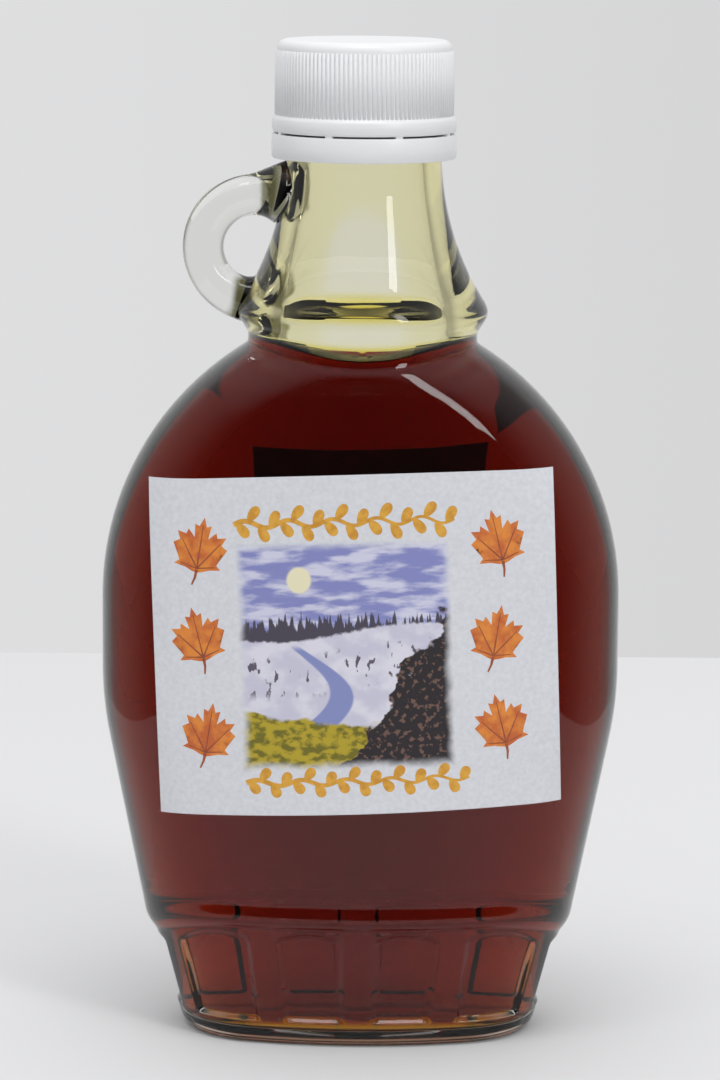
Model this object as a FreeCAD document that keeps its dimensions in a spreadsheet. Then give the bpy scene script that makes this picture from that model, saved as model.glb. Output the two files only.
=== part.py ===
"""Glass syrup flask with a ring handle on its neck, a ribbed screw cap and two paper labels.

The frame is in millimetres: origin at the centre of the foot, +Z up, the front label faces -Y
and the ring handle is on the -X side.
"""

import FreeCAD, Part
import math
import os
import re

import Sketcher

DOC = FreeCAD.newDocument("SyrupFlask")
TOUCH = 0.01

# ---------------------------------------------------------------------------------------------
# Driving dimensions. Heights are measured from the table, radii and half widths from the axis.
# ---------------------------------------------------------------------------------------------
SIZES = {
    # flask body, as ovals of four arcs stacked on the axis
    "foot_half_width": 29.6,
    "foot_half_depth": 16.9,
    "basket_top_height": 16.4,
    "basket_half_width": 34.3,
    "basket_half_depth": 18.7,
    "roll_end_height": 16.6,
    "roll_front_height": 20.6,
    "roll_bulge": 0.45,
    "ridge_end_height": 21.0,
    "ridge_front_height": 23.0,
    "ridge_band": 1.8,
    "ridge_half_depth": 20.0,
    "wall_angle": 11.3,
    "belly_low_height": 62.0,
    "belly_radius": 60.0,
    "belly_high_height": 74.0,
    "belly_half_width": 43.45,
    "belly_half_depth": 21.5,
    "shoulder_half_depth": 20.5,
    "shoulder_roll_height": 110.0,
    "end_arc_angle": 74.0,
    "heel_radius": 2.6,
    # glass
    "wall": 2.4,
    "floor_thickness": 3.4,
    "inner_heel_radius": 4.5,
    # fluted basket
    "front_panel_width": 12.5,
    "corner_panel_width": 14.6,
    "end_panel_width": 13.6,
    "panel_bottom_height": 5.0,
    "panel_top_gap": 1.8,
    "panel_arch_rise": 1.3,
    "panel_depth": 0.7,
    # neck
    "waist_radius": 19.1,
    "waist_height": 118.6,
    "waist_band": 1.8,
    "collar_low_radius": 20.2,
    "collar_low_height": 120.4,
    "flare_low_radius": 20.3,
    "flare_low_height": 123.7,
    "neck_radius": 12.85,
    "neck_height": 149.0,
    "lock_bead_radius": 13.9,
    "lock_bead_thickness": 1.2,
    "finish_radius": 12.6,
    "finish_height": 154.4,
    "neck_wall": 3.1,
    "bore_flare_radius": 64.0,
    "flare_radius": 46.7,
    "collar_bulge_radius": 2.6,
    "rim_height": 165.1,
    # ring handle
    "ring_offset": 17.9,
    "ring_height": 132.6,
    "ring_radius": 8.7,
    "ring_bar_radius": 3.4,
    "ring_joint_radius": 2.6,
    # syrup
    "fill_height": 117.4,
    # cap
    "cap_height": 167.0,
    "cap_radius": 14.55,
    "rib_count": 120.0,
    "rib_depth": 0.35,
    "rib_top_gap": 2.2,
    "cap_edge_radius": 1.3,
    "cap_skirt_low": 151.9,
    "cap_bead_radius": 15.25,
    "cap_bead_height": 2.4,
    "cap_clearance": 0.2,
    # tamper band
    "band_low": 147.6,
    "band_gap": 0.3,
    "band_radius": 15.3,
    "band_clearance": 0.5,
    "bridge_count": 8.0,
    "bridge_width": 1.2,
    # paper labels
    "paper_thickness": 0.15,
    "front_label_width": 66.4,
    "front_label_height": 55.8,
    "front_label_middle": 68.9,
    "front_label_offset": -0.8,
    "front_label_tilt": 2.2,
    "back_label_width": 48.0,
    "back_label_height": 56.0,
    "back_label_middle": 69.0,
    "back_label_offset": 2.9,
    "back_label_tilt": -1.0,
}

SHEET = DOC.addObject("Spreadsheet::Sheet", "Sizes")
for row, (alias, value) in enumerate(SIZES.items(), start=1):
    SHEET.set(f"A{row}", alias)
    SHEET.set(f"B{row}", str(value))
    SHEET.setAlias(f"B{row}", alias)
DOC.recompute()


def size(alias):
    """The value of a named cell."""
    return float(SHEET.get(alias))


def bind(thing, prop, expression):
    """Ties a property to the sheet: names in the expression are cell aliases."""
    thing.setExpression(prop, expression)


# ---------------------------------------------------------------------------------------------
# The flask's plan section and its profile
# ---------------------------------------------------------------------------------------------
def oval(half_width, half_depth, height):
    """A closed oval of four tangent arcs: two end arcs and the flatter front and back."""
    angle = math.radians(size("end_arc_angle"))
    centre_gap = (half_width - half_depth) / (math.sin(angle) + math.cos(angle) - 1)
    end_centre = centre_gap * math.cos(angle)
    end_radius = half_width - end_centre
    corner_x = end_centre + end_radius * math.cos(angle)
    corner_y = end_radius * math.sin(angle)
    stops = [
        ((corner_x, -corner_y), (half_width, 0), (corner_x, corner_y)),
        ((corner_x, corner_y), (0, half_depth), (-corner_x, corner_y)),
        ((-corner_x, corner_y), (-half_width, 0), (-corner_x, -corner_y)),
        ((-corner_x, -corner_y), (0, -half_depth), (corner_x, -corner_y)),
    ]
    arcs = []
    for stop in stops:
        points = [FreeCAD.Vector(x, y, height) for x, y in stop]
        arcs.append(Part.Arc(*points).toShape())
    return Part.Wire(arcs)


def rise_share(turn):
    """How far the basket's edge lines have climbed from their low ends to the front: 0 to 1."""
    return 1 - abs(math.cos(turn)) ** 3


def lifted_oval(half_width, half_depth, end_height, front_height):
    """The oval as a line that stands higher in front and behind than at its two ends."""
    open_angle = math.radians(90 - size("end_arc_angle"))
    gap = (half_width - half_depth) / (math.cos(open_angle) + math.sin(open_angle) - 1)
    end_centre = gap * math.sin(open_angle)
    end_radius = half_width - end_centre
    turns = [-math.pi / 2 + open_angle, math.pi / 2 - open_angle, math.pi / 2 + open_angle,
             3 * math.pi / 2 - open_angle, 3 * math.pi / 2 + open_angle]
    edges = []
    steps = 12
    for number, (start, stop) in enumerate(zip(turns, turns[1:])):
        centre = [(end_centre, 0), (0, -gap * math.cos(open_angle)),
                  (-end_centre, 0), (0, gap * math.cos(open_angle))][number]
        radius = end_radius if number % 2 == 0 else end_radius + gap
        points = []
        for step in range(steps + 1):
            turn = start + (stop - start) * step / steps
            height = end_height + (front_height - end_height) * rise_share(turn)
            points.append(FreeCAD.Vector(centre[0] + radius * math.cos(turn),
                                         centre[1] + radius * math.sin(turn), height))
        curve = Part.BSplineCurve()
        curve.interpolate(points)
        edges.append(curve.toShape())
    return Part.Wire(edges)


def lower_half_width(height):
    """The side wall from the ridge to the belly: a straight taper that rounds into the belly."""
    angle = math.radians(size("wall_angle"))
    radius = size("belly_radius")
    bend = taper_top()
    if height > bend:
        drop = size("belly_low_height") - height
        return size("belly_half_width") - radius + math.sqrt(radius ** 2 - drop ** 2)
    at_bend = size("belly_half_width") - radius * (1 - math.cos(angle))
    return at_bend - math.tan(angle) * (bend - height)


def shoulder_radius():
    """The radius of the shoulder, which leaves the belly upright and ends at the neck's root."""
    rise = size("waist_height") - size("waist_band") - size("belly_high_height")
    step = size("belly_half_width") - size("waist_radius")
    return (rise ** 2 + step ** 2) / (2 * step)


def shoulder_top(inset):
    """The height at which the shoulder, moved inwards, meets the neck."""
    reach = size("waist_radius") - inset - size("belly_half_width") + shoulder_radius()
    return size("belly_high_height") + math.sqrt((shoulder_radius() - inset) ** 2 - reach ** 2)


def body_section(height, inset):
    """Half width and half depth of the body above the ridge, moved inwards by a wall."""
    belly_width = size("belly_half_width")
    belly_depth = size("belly_half_depth")
    if height <= size("belly_low_height"):
        ridge_width = lower_half_width(size("ridge_end_height") + size("ridge_band"))
        half_width = lower_half_width(height)
        share = (half_width - ridge_width) / (belly_width - ridge_width)
        half_depth = size("ridge_half_depth") + (belly_depth - size("ridge_half_depth")) * share
        return half_width - inset, half_depth - inset
    high = size("belly_high_height")
    if height <= high:
        return belly_width - inset, belly_depth - inset
    radius = shoulder_radius()
    half_width = belly_width - radius + math.sqrt((radius - inset) ** 2 - (height - high) ** 2)
    roll = size("shoulder_roll_height")
    if height <= roll:
        share = ((height - high) / (roll - high)) ** 2
        half_depth = belly_depth + (size("shoulder_half_depth") - belly_depth) * share
        return half_width, half_depth - inset
    turn = (height - roll) / (shoulder_top(inset) - roll)
    drop = size("shoulder_half_depth") - size("waist_radius")
    half_depth = size("shoulder_half_depth") - drop * (1 - math.sqrt(max(0.0, 1 - turn * turn)))
    return half_width, half_depth - inset


def taper_top():
    """The height at which the straight taper of the side wall starts to round into the belly."""
    return size("belly_low_height") - size("belly_radius") * math.sin(math.radians(size("wall_angle")))


def curved_stations(inset):
    """Heights of the sections from the taper to the neck: even steps up the belly, then even
    turns round the shoulder."""
    low = taper_top()
    high = size("belly_high_height")
    radius = shoulder_radius() - inset
    turn = math.asin((shoulder_top(inset) - high) / radius)
    belly = [low + (high - low) * step / 4 for step in range(4)]
    shoulder = [high + radius * math.sin(turn * step / 8) for step in range(9)]
    return belly + shoulder


def ruled(*sections):
    """A straight-sided solid through ovals, each given as half width, half depth and height."""
    return Part.makeLoft([oval(*section) for section in sections], True, True)


def body_oval(height, inset):
    """The body's plan section at a height."""
    half_width, half_depth = body_section(height, inset)
    return oval(half_width, half_depth, height)


def curved_body(inset):
    """The belly and shoulder, moved inwards by a wall, from the taper's top to the neck."""
    return Part.makeLoft([body_oval(height, inset) for height in curved_stations(inset)], True, False)


def foot_section(inset, height):
    """Half width, half depth and height of the tapered basket, moved inwards."""
    share = height / size("basket_top_height")
    half_width = size("foot_half_width") + (size("basket_half_width") - size("foot_half_width")) * share
    half_depth = size("foot_half_depth") + (size("basket_half_depth") - size("foot_half_depth")) * share
    return half_width - inset, half_depth - inset, height


def skirt(inset):
    """From the basket's flat top up to the taper's top: the band that rolls out to the ridge, the
    ridge, and the straight wall. The roll and the ridge stand higher in front than at the ends."""
    ridge_end = size("ridge_end_height")
    ridge_front = size("ridge_front_height")
    band = size("ridge_band")
    start_width = size("basket_half_width")
    start_depth = foot_section(0.0, size("roll_front_height"))[1]
    stop_width = lower_half_width(ridge_end)
    stop_depth = size("ridge_half_depth")
    wires = [oval(*foot_section(inset, size("basket_top_height")))]
    steps = 4
    for step in range(steps + 1):
        share = step / steps
        bulge = size("roll_bulge") * math.sin(math.pi * share)
        wires.append(lifted_oval(
            start_width + (stop_width - start_width) * share + bulge - inset,
            start_depth + (stop_depth - start_depth) * share + bulge - inset,
            size("roll_end_height") + (ridge_end - size("roll_end_height")) * share,
            size("roll_front_height") + (ridge_front - size("roll_front_height")) * share))
    wires.append(lifted_oval(lower_half_width(ridge_end + band) - inset, stop_depth - inset,
                             ridge_end + band, ridge_front + band))
    wires.append(body_oval(taper_top(), inset))
    return Part.makeLoft(wires, True, True)


def feature(name, shape):
    """A document object for a shape that its own functions make."""
    thing = DOC.addObject("Part::Feature", name)
    thing.Shape = shape
    return thing


def combine(kind, name, shapes):
    """A fusion or a common part of several objects."""
    thing = DOC.addObject(kind, name)
    thing.Shapes = shapes
    return thing


def cut(name, base, tool):
    thing = DOC.addObject("Part::Cut", name)
    thing.Base = base
    thing.Tool = tool
    return thing


# ---------------------------------------------------------------------------------------------
# Turned pieces: bodies with a sketched half section
# ---------------------------------------------------------------------------------------------
def origin_feature(body, role):
    return next(thing for thing in body.Origin.OriginFeatures if thing.Role == role)


def turned(name, points):
    """A body turned about Z. Each point is (radius, height), as expressions of sheet names, with a
    third entry for the radius of an arc that leads to the next point: positive bulges outwards."""
    body = DOC.addObject("PartDesign::Body", name)
    sketch = body.newObject("Sketcher::SketchObject", name + "Profile")
    sketch.AttachmentSupport = [(origin_feature(body, "XZ_Plane"), "")]
    sketch.MapMode = "FlatFace"
    places = [FreeCAD.Vector(value(point[0]), value(point[1]), 0) for point in points]
    ends = []
    for index, point in enumerate(points):
        start = places[index]
        stop = places[(index + 1) % len(places)]
        if len(point) > 2:
            curve = Part.Arc(start, arc_middle(start, stop, value(point[2])), stop)
        else:
            curve = Part.LineSegment(start, stop)
        edge = sketch.addGeometry(curve, False)
        first_is_start = sketch.getPoint(edge, 1).distanceToPoint(start) < 1e-6
        ends.append((edge, 1, 2) if first_is_start else (edge, 2, 1))
    for index, point in enumerate(points):
        edge, start_end, _ = ends[index]
        before, _, stop_end = ends[index - 1]
        sketch.addConstraint(Sketcher.Constraint("Coincident", before, stop_end, edge, start_end))
        for kind, place, expression in (("DistanceX", places[index].x, point[0]),
                                        ("DistanceY", places[index].y, point[1])):
            row = sketch.addConstraint(Sketcher.Constraint(kind, -1, 1, edge, start_end, place))
            sketch.setExpression(f"Constraints[{row}]", named(expression))
        if len(point) > 2:
            bend = abs(value(point[2]))
            row = sketch.addConstraint(Sketcher.Constraint("Radius", edge, bend))
            sketch.setExpression(f"Constraints[{row}]", "abs(" + named(point[2]) + ")")
    turn = body.newObject("PartDesign::Revolution", name + "Turn")
    turn.Profile = sketch
    turn.ReferenceAxis = (sketch, ["V_Axis"])
    turn.Angle = 360
    body.Tip = turn
    return body


def named(expression):
    """An expression of bare aliases, with the sheet's name put before each."""
    return re.sub(r"[a-z][a-z_]+", lambda word: "Sizes." + word.group(), expression)


def value(expression):
    """The number that an expression of bare aliases gives now."""
    total = 0.0
    for sign, term in re.findall(r"([+-]?) *([a-z_]+|[0-9.]+)", expression):
        number = float(term) if term[0].isdigit() else size(term)
        total += -number if sign == "-" else number
    return total


def arc_middle(start, stop, radius):
    """The middle of the arc between two points that bulges to the right of the way, or to its
    left if the radius is negative."""
    chord = stop - start
    half = chord.Length / 2
    sagitta = abs(radius) - math.sqrt(radius ** 2 - half ** 2)
    across = FreeCAD.Vector(chord.y, -chord.x, 0).normalize()
    return start + chord / 2 + across * (sagitta if radius > 0 else -sagitta)


# ---------------------------------------------------------------------------------------------
# Glass bottle: one piece, with its neck, ring handle and fluted basket
# ---------------------------------------------------------------------------------------------
def panel_stops(length):
    """Where the panels start and stop along a quarter of a section, from the front pillar's
    middle to the end panel's middle. The pillars between them are equally wide."""
    front = size("front_panel_width")
    corner = size("corner_panel_width")
    end = size("end_panel_width")
    top_quarter = oval(*foot_section(0.0, size("basket_top_height"))).Length / 4
    pillar = (top_quarter - front - corner - end / 2) / 2.5
    shrink = (length / 4 - 2.5 * pillar) / (top_quarter - 2.5 * pillar)
    stops = []
    along = pillar / 2
    for width in (front, corner, end):
        stops.append((along, along + width * shrink))
        along += width * shrink + pillar
    return stops


def panel_spans(length):
    """The start and stop of all ten panels along a whole section, from the front round by +X."""
    quarter = length / 4
    front, corner, end = panel_stops(length)
    half = [front, corner, end, (2 * quarter - corner[1], 2 * quarter - corner[0]),
            (2 * quarter - front[1], 2 * quarter - front[0])]
    return half + [(start + 2 * quarter, stop + 2 * quarter) for start, stop in half]


def section_point(section, along):
    """The point at a length along a section, from the front centre line round by +X, and the
    outward direction's angle there."""
    wire = oval(*section)
    length = wire.Length
    ends = wire.OrderedEdges
    front_half = ends[3].Length / 2
    along = (along + length - front_half) % length
    for edge in ends:
        if along <= edge.Length:
            share = along / edge.Length
            first, last = edge.ParameterRange
            place = edge.valueAt(first + (last - first) * share)
            centre = edge.Curve.Center
            return place, math.atan2(place.y - centre.y, place.x - centre.x)
        along -= edge.Length
    raise ValueError("the length runs past the end of the section")


def panel_cutter(low_span, top_span):
    """An arch-topped prism that runs through the basket's wall at one panel. Its top follows the
    edge line of the roll above it."""
    low = size("panel_bottom_height")
    top_section = foot_section(0.0, size("basket_top_height"))
    low_ends = [section_point(foot_section(0.0, low), along)[0] for along in low_span]
    top_ends = [section_point(top_section, along) for along in top_span]
    outward_angle = section_point(top_section, sum(top_span) / 2)[1]
    outward = FreeCAD.Vector(math.cos(outward_angle), math.sin(outward_angle), 0)
    across = FreeCAD.Vector(-outward.y, outward.x, 0)
    up = FreeCAD.Vector(0, 0, 1)
    reach = 2 * size("wall")
    base = section_point(top_section, sum(top_span) / 2)[0]
    base = FreeCAD.Vector(base.x, base.y, 0) + outward * reach

    def top_height(turn, rise):
        lift = size("roll_front_height") - size("roll_end_height")
        return size("roll_end_height") + lift * rise_share(turn) - size("panel_top_gap") + rise

    def spot(place, height):
        return base + across * (place - base).dot(across) + up * height

    low_left, low_right = (spot(place, low) for place in low_ends)
    top_left, top_right = (spot(place, top_height(turn, 0.0)) for place, turn in top_ends)
    apex = (top_left + top_right) / 2
    apex.z = (top_height(outward_angle, 0.0) + apex.z) / 2 + size("panel_arch_rise")
    edges = [
        Part.LineSegment(low_left, low_right).toShape(),
        Part.LineSegment(low_right, top_right).toShape(),
        Part.Arc(top_right, apex, top_left).toShape(),
        Part.LineSegment(top_left, low_left).toShape(),
    ]
    return Part.Face(Part.Wire(edges)).extrude(outward * (-3 * reach))


def panel_cutters():
    """One cutter for each of the ten panels."""
    low_section = foot_section(0.0, size("panel_bottom_height"))
    top_section = foot_section(0.0, size("basket_top_height"))
    low_spans = panel_spans(oval(*low_section).Length)
    top_spans = panel_spans(oval(*top_section).Length)
    return [panel_cutter(*spans) for spans in zip(low_spans, top_spans)]


def glass_parts():
    """The outside of the flask in three stacked pieces, the lowest with its rounded heel."""
    foot = ruled(foot_section(0.0, 0.0), foot_section(0.0, size("basket_top_height")))
    rim = [edge for edge in foot.Edges if edge.BoundBox.ZMax < TOUCH]
    foot = foot.makeFillet(size("heel_radius"), rim)
    return [
        feature("FootBlank", foot),
        feature("SkirtBlank", skirt(0.0)),
        feature("BodyBlank", curved_body(0.0)),
    ]


def cavity_parts():
    """The inside of the flask below the neck, with a rounded floor edge."""
    low = size("floor_thickness")
    wall = size("wall")
    thick = wall + size("panel_depth")
    high = size("ridge_front_height") + size("ridge_band")
    bend = taper_top()
    lower = ruled(foot_section(thick, low), foot_section(thick, size("basket_top_height")),
                  (*body_section(high, wall), high), (*body_section(bend, wall), bend))
    rim = [edge for edge in lower.Edges if edge.BoundBox.ZMax < low + TOUCH]
    lower = lower.makeFillet(size("inner_heel_radius"), rim)
    return [feature("LowerCavity", lower), feature("UpperCavity", curved_body(wall))]


def neck_with_ring(neck_shape, ring_shape):
    """The neck and its ring handle in one, with the glass drawn out round the upper joint."""
    joined = neck_shape.fuse(ring_shape)
    seams = []
    for edge in joined.Edges:
        surfaces = [face.Surface for face in joined.ancestorsOfType(edge, Part.Face)]
        on_ring = [isinstance(surface, Part.Toroid)
                   and abs(surface.MajorRadius - size("ring_radius")) < TOUCH for surface in surfaces]
        if any(on_ring) and not all(on_ring) and edge.BoundBox.ZMin > size("ring_height"):
            seams.append(edge)
    return joined.makeFillet(size("ring_joint_radius"), seams)


NECK_ROOT = "waist_height - wall - wall"
MOUTH_TOP = "rim_height + neck_wall"

neck = turned("NeckBlank", [
    ("0", NECK_ROOT),
    ("waist_radius", NECK_ROOT),
    ("waist_radius", "waist_height"),
    ("collar_low_radius", "collar_low_height", "collar_bulge_radius"),
    ("flare_low_radius", "flare_low_height", "0 - flare_radius"),
    ("neck_radius", "neck_height"),
    ("neck_radius", "cap_skirt_low"),
    ("lock_bead_radius", "cap_skirt_low + band_gap"),
    ("lock_bead_radius", "cap_skirt_low + band_gap + lock_bead_thickness"),
    ("finish_radius", "finish_height"),
    ("finish_radius", "rim_height"),
    ("0", "rim_height"),
])
bore = turned("Bore", [
    ("0", NECK_ROOT),
    ("waist_radius - wall", NECK_ROOT),
    ("waist_radius - wall", "waist_height", "0 - bore_flare_radius"),
    ("neck_radius - neck_wall", "neck_height"),
    ("neck_radius - neck_wall", MOUTH_TOP),
    ("0", MOUTH_TOP),
])

ring = DOC.addObject("Part::Torus", "RingHandle")
bind(ring, "Radius1", "Sizes.ring_radius")
bind(ring, "Radius2", "Sizes.ring_bar_radius")
ring.Placement.Rotation = FreeCAD.Rotation(FreeCAD.Vector(1, 0, 0), 90)
bind(ring, "Placement.Base.x", "-Sizes.ring_offset")
bind(ring, "Placement.Base.z", "Sizes.ring_height")

DOC.recompute()
neck_ring = feature("NeckWithRing", neck_with_ring(neck.Shape, ring.Shape))

body_blanks = glass_parts()
blank = combine("Part::MultiFuse", "OutsideBlank", body_blanks + [neck_ring])
inside = combine("Part::MultiFuse", "Inside", cavity_parts() + [bore])

arches = combine("Part::MultiFuse", "PanelArches",
                 [feature(f"PanelArch{number}", cutter)
                  for number, cutter in enumerate(panel_cutters(), start=1)])
core = feature("BasketCore", ruled(foot_section(size("panel_depth"), 0.0),
                                   foot_section(size("panel_depth"), size("roll_front_height"))))
panels = cut("PanelCutters", arches, core)
fluted = cut("FlutedBlank", blank, panels)
bottle = cut("GlassBottle", fluted, inside)
bottle.Label = "glass_bottle"

# ---------------------------------------------------------------------------------------------
# Syrup: everything inside the glass up to the fill line
# ---------------------------------------------------------------------------------------------
fill = DOC.addObject("Part::Box", "FillBlock")
bind(fill, "Length", "4 * Sizes.belly_half_width")
bind(fill, "Width", "4 * Sizes.belly_half_width")
bind(fill, "Height", "Sizes.fill_height")
bind(fill, "Placement.Base.x", "-2 * Sizes.belly_half_width")
bind(fill, "Placement.Base.y", "-2 * Sizes.belly_half_width")
syrup = combine("Part::MultiCommon", "Syrup", [inside, fill])
syrup.Label = "syrup"

# ---------------------------------------------------------------------------------------------
# Screw cap and the tamper band under it
# ---------------------------------------------------------------------------------------------
CAP_INSIDE = "lock_bead_radius + cap_clearance"


def rib_sleeve():
    """The cap's fine grip ribs: a sleeve whose outline is one small arc for each rib."""
    count = int(size("rib_count"))
    root = size("cap_radius")
    crest = root + size("rib_depth")
    low = size("cap_skirt_low") + size("cap_bead_height")
    arcs = []
    for number in range(count):
        turns = [2 * math.pi * (number + part) / count for part in (0.0, 0.5, 1.0)]
        points = [FreeCAD.Vector(reach * math.cos(turn), reach * math.sin(turn), low)
                  for reach, turn in zip((root, crest, root), turns)]
        arcs.append(Part.Arc(*points).toShape())
    outline = Part.Face(Part.Wire(arcs))
    core = Part.Face(Part.Wire(Part.makeCircle(root - size("rib_depth"), FreeCAD.Vector(0, 0, low))))
    tall = size("cap_height") - size("rib_top_gap") - low
    return outline.cut(core).extrude(FreeCAD.Vector(0, 0, tall))


cap = turned("CapShell", [
    ("0", "rim_height"),
    (CAP_INSIDE, "rim_height"),
    (CAP_INSIDE, "cap_skirt_low"),
    ("cap_bead_radius", "cap_skirt_low"),
    ("cap_bead_radius", "cap_skirt_low + cap_bead_height"),
    ("cap_radius", "cap_skirt_low + cap_bead_height"),
    ("cap_radius", "cap_height - cap_edge_radius", "cap_edge_radius"),
    ("cap_radius - cap_edge_radius", "cap_height"),
    ("0", "cap_height"),
])
cap_ribs = feature("CapRibs", rib_sleeve())
ribbed_cap = combine("Part::MultiFuse", "RibbedCap", [cap, cap_ribs])
ribbed_cap.Label = "screw_cap"

BAND_INSIDE = "neck_radius + band_clearance"
band = turned("BandRing", [
    (BAND_INSIDE, "band_low"),
    ("band_radius", "band_low"),
    ("band_radius", "cap_skirt_low - band_gap"),
    (BAND_INSIDE, "cap_skirt_low - band_gap"),
])
bridge = DOC.addObject("Part::Box", "Bridge")
bind(bridge, "Length", "Sizes.cap_bead_radius - Sizes.lock_bead_radius - Sizes.cap_clearance")
bind(bridge, "Width", "Sizes.bridge_width")
bind(bridge, "Height", "Sizes.band_gap")
bind(bridge, "Placement.Base.x", "Sizes.lock_bead_radius + Sizes.cap_clearance")
bind(bridge, "Placement.Base.y", "-Sizes.bridge_width / 2")
bind(bridge, "Placement.Base.z", "Sizes.cap_skirt_low - Sizes.band_gap")
DOC.recompute()
bridges = []
for step in range(int(size("bridge_count"))):
    turn = FreeCAD.Rotation(FreeCAD.Vector(0, 0, 1), 360 * (step + 0.5) / size("bridge_count"))
    shape = bridge.Shape.copy()
    shape.rotate(FreeCAD.Vector(0, 0, 0), turn.Axis, math.degrees(turn.Angle))
    bridges.append(feature(f"Bridge{step + 1}", shape))
tamper = combine("Part::MultiFuse", "TamperBand", [band] + bridges)
tamper.Label = "tamper_band"

# ---------------------------------------------------------------------------------------------
# Paper labels: thin sheets that lie on the front and the back of the body
# ---------------------------------------------------------------------------------------------
skin = combine("Part::MultiFuse", "LabelSkin",
               [feature("LabelSkirt", skirt(-size("paper_thickness"))),
                feature("LabelBody", curved_body(-size("paper_thickness")))])
glass_skin = combine("Part::MultiFuse", "LabelledGlass", body_blanks[1:])


def label(side, direction):
    """One label: the skin just outside the glass, cut to a rectangle on the front or the back."""
    title = side.capitalize()
    width = f"Sizes.{side}_label_width"
    height = f"Sizes.{side}_label_height"
    tilt = f"Sizes.{side}_label_tilt"
    block = DOC.addObject("Part::Box", title + "LabelBlock")
    bind(block, "Length", width)
    bind(block, "Width", "2 * Sizes.belly_half_depth")
    bind(block, "Height", height)
    block.Placement.Rotation = FreeCAD.Rotation(FreeCAD.Vector(0, -1, 0), 1)
    bind(block, "Placement.Rotation.Angle", tilt)
    bind(block, "Placement.Base.x", f"Sizes.{side}_label_offset - {width} / 2 * cos({tilt} * 1 deg)"
         f" + {height} / 2 * sin({tilt} * 1 deg)")
    bind(block, "Placement.Base.z", f"Sizes.{side}_label_middle - {width} / 2 * sin({tilt} * 1 deg)"
         f" - {height} / 2 * cos({tilt} * 1 deg)")
    if direction < 0:
        bind(block, "Placement.Base.y", "-2 * Sizes.belly_half_depth")
    patch = combine("Part::MultiCommon", title + "LabelPatch", [skin, block])
    sheet = cut(title + "Label", patch, glass_skin)
    sheet.Label = side + "_label"
    return sheet


front_label = label("front", -1)
back_label = label("back", 1)

# ---------------------------------------------------------------------------------------------
# Check and write
# ---------------------------------------------------------------------------------------------
DOC.recompute()
faults = [thing.Name for thing in DOC.Objects if "Invalid" in thing.State or "Error" in thing.State]
pieces = [bottle, syrup, ribbed_cap, tamper, front_label, back_label]
for piece in pieces:
    if piece.Shape.isNull() or not piece.Shape.isValid() or len(piece.Shape.Solids) != 1:
        faults.append(piece.Label)
if faults:
    raise RuntimeError("these objects failed: " + ", ".join(faults))
os.makedirs("parts", exist_ok=True)
for piece in pieces:
    piece.Shape.exportStep(f"parts/{piece.Label}.step")
    print(piece.Label, "volume", round(piece.Shape.Volume, 1), "faces", len(piece.Shape.Faces))
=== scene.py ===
"""A flask of dark syrup: moulded glass with a ring handle, a ribbed screw cap and paper labels.

Sizes in the sections are millimetres in the row's own frame: the foot stands on z = 0, the front
label faces -Y and the ring handle is on the -X side.
"""

import math

import bmesh
import bpy
import numpy as np
from mathutils import Matrix, Vector


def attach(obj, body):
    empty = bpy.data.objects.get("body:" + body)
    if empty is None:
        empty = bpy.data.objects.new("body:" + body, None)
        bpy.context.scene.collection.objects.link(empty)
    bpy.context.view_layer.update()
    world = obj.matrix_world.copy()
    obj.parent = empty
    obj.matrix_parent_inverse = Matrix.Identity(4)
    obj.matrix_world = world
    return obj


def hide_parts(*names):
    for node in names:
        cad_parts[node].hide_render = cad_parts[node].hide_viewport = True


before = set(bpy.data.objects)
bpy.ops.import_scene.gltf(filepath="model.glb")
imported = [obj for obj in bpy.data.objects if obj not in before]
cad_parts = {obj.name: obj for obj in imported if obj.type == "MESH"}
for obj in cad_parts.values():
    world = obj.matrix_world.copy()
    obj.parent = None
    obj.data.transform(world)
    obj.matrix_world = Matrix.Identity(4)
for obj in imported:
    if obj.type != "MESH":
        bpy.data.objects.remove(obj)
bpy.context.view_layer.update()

# ------------------------------------------------------------------------------- glass bottle
# The bottle is one piece of flint glass, blown in a two-part mould: an oval basket with sunken
# arched panels, a rounded belly, and a collared neck that carries the ring handle. The wall is
# about 2.4 mm thick and the floor 2 mm; every edge is rounded as hot glass rounds it.
MM = 0.001
END_ARC = math.radians(74.0)
WALL, NECK_ROOT, FLOOR, INNER_HEEL = 2.4, 2.0, 2.2, 3.4
PANEL_WALL, THICK_FROM, THICK_OVER = 0.7, 28.0, 10.0
STAND_WIDTH, STAND_DEPTH = 27.64, 14.6
HEEL_RADIUS, HEEL_REACH, HEEL_BEND = 2.6, 2.45, math.radians(74.0)
FOOT_WIDTH, FOOT_DEPTH = 29.6, 16.9
BASKET_TOP, BASKET_WIDTH, BASKET_DEPTH = 16.4, 34.3, 18.7
ROLL_END, ROLL_FRONT, ROLL_BULGE = 16.6, 20.6, 0.45
RIDGE_END, RIDGE_FRONT, RIDGE_BAND = 21.0, 23.0, 1.8
RIDGE_DEPTH, RIDGE_FALL, WALL_DEPTH = 20.35, 0.4, 20.0
ROLL_BOW, RIDGE_BOW = ROLL_FRONT - ROLL_END, RIDGE_FRONT - RIDGE_END
BOW_FOOT, BOW_END = 22.8, 50.0
PANEL_FOOT, PANEL_GAP, PANEL_ARCH, PANEL_SIDE, PANEL_HEAD = 4.15, 1.8, 1.3, 1.7, 0.8
PANELS, END_PANEL = ((2.1, 14.6), (18.4, 33.0)), 37.2
LEDGE_DEPTH, LEDGE_RISE, SCOOP_DEPTH = 0.8, 0.75, 0.3
TAPER = math.radians(11.3)
BELLY_LOW, BELLY_HIGH, BELLY_ARC = 62.0, 74.0, 60.0
BELLY_WIDTH, BELLY_DEPTH = 43.45, 21.5
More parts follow.
